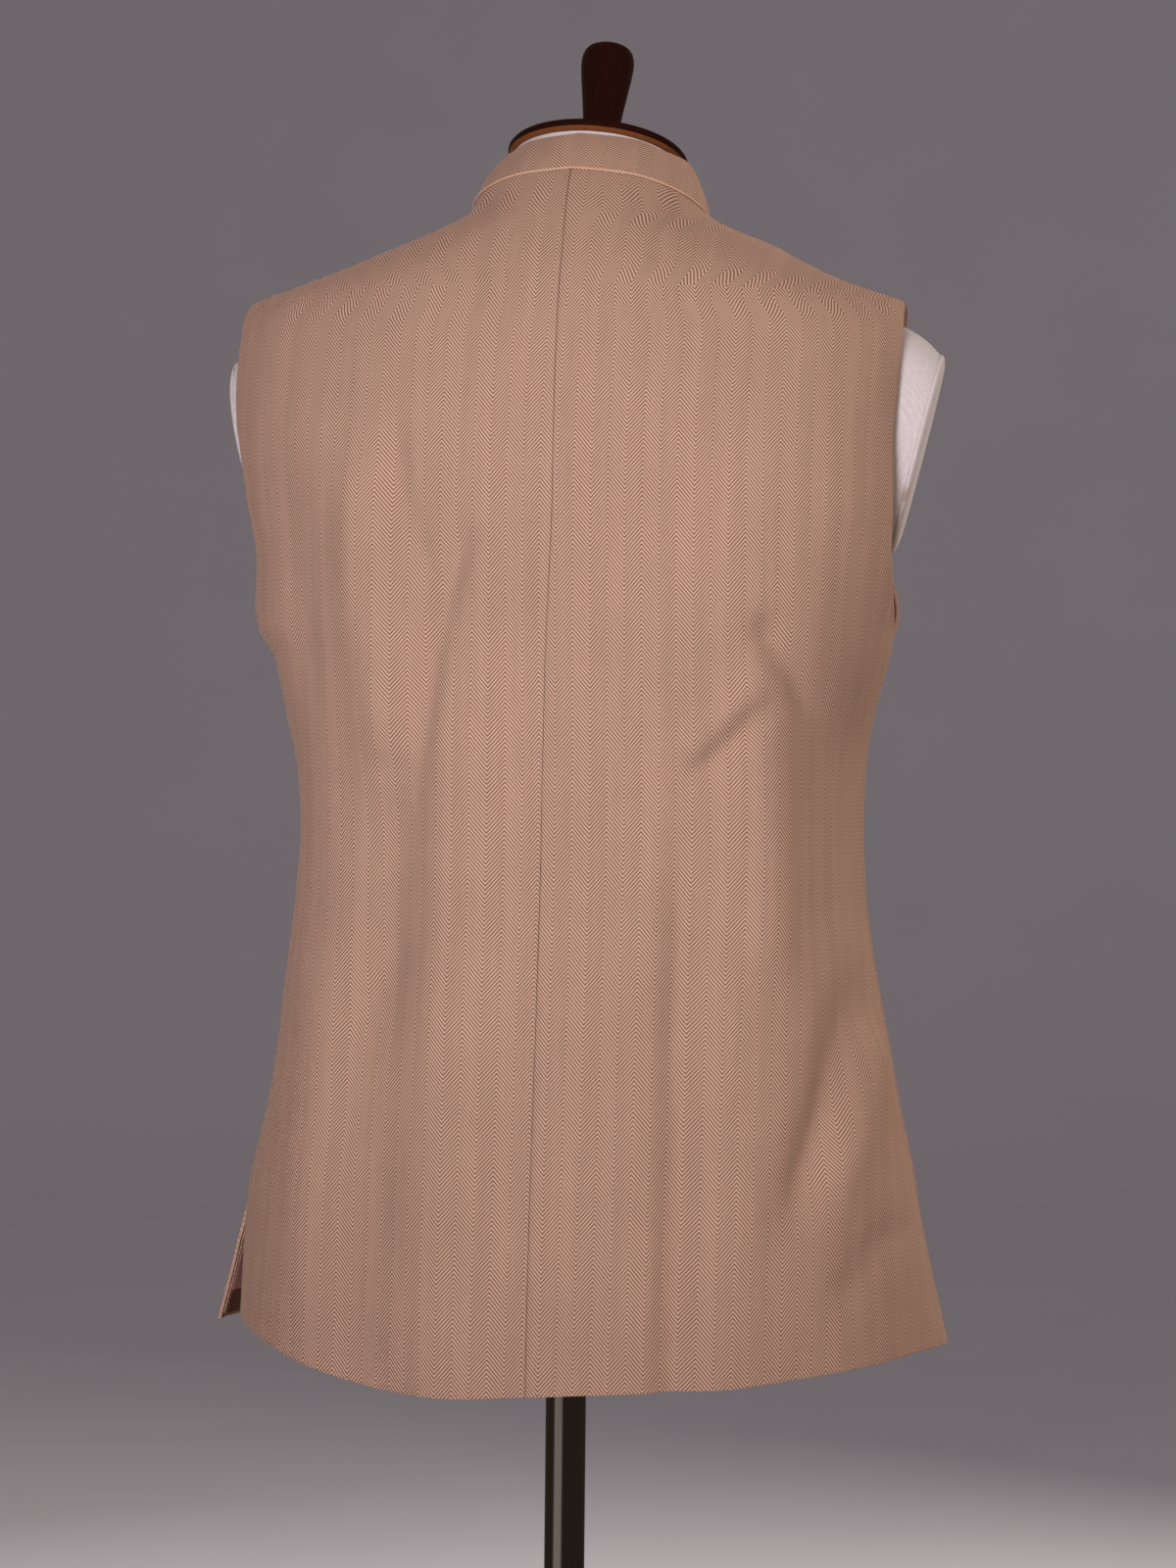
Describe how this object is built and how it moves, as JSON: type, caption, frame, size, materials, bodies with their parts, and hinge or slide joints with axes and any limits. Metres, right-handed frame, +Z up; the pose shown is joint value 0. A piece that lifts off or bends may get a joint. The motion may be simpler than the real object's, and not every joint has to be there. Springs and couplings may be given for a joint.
{
  "type": "waistcoat on a dress form",
  "caption": "Sleeveless band-collar waistcoat in tan herringbone wool with side vents, buttoned on a limbless canvas dress form with a turned cap, steel pole and round base.",
  "frame": {"origin": "centre of the base's underside, on the pole's axis", "axes": "+Z up along the pole, the garment's front towards -Y, the wearer's left towards +X"},
  "size_m": [0.4614, 0.3924, 1.5944],
  "materials": {
    "herringbone_wool": "matt worsted with a fine herringbone",
    "satin_lining": "soft sheen",
    "hem_facing_cloth": "matt",
    "horn": "polished",
    "canvas": "matt plain weave",
    "dark_wood": "gloss lacquer",
    "steel": "brushed and polished"
  },
  "bodies": {
    "root": {"back_left": "herringbone_wool", "back_right": "herringbone_wool", "front_left": "herringbone_wool", "front_right": "herringbone_wool", "collar": "herringbone_wool", "lining_left": "satin_lining", "lining_right": "satin_lining", "hem_facing_left": "hem_facing_cloth", "hem_facing_right": "hem_facing_cloth", "button_1": "horn", "button_2": "horn", "button_3": "horn", "button_4": "horn", "button_5": "horn", "torso": "canvas", "arm_plate_left": "canvas", "arm_plate_right": "canvas", "neck_cap": "dark_wood", "neck_knob": "dark_wood", "pole": "steel", "pole_flange": "steel", "pole_socket": "steel", "base": "steel"}
  },
  "joints": []
}
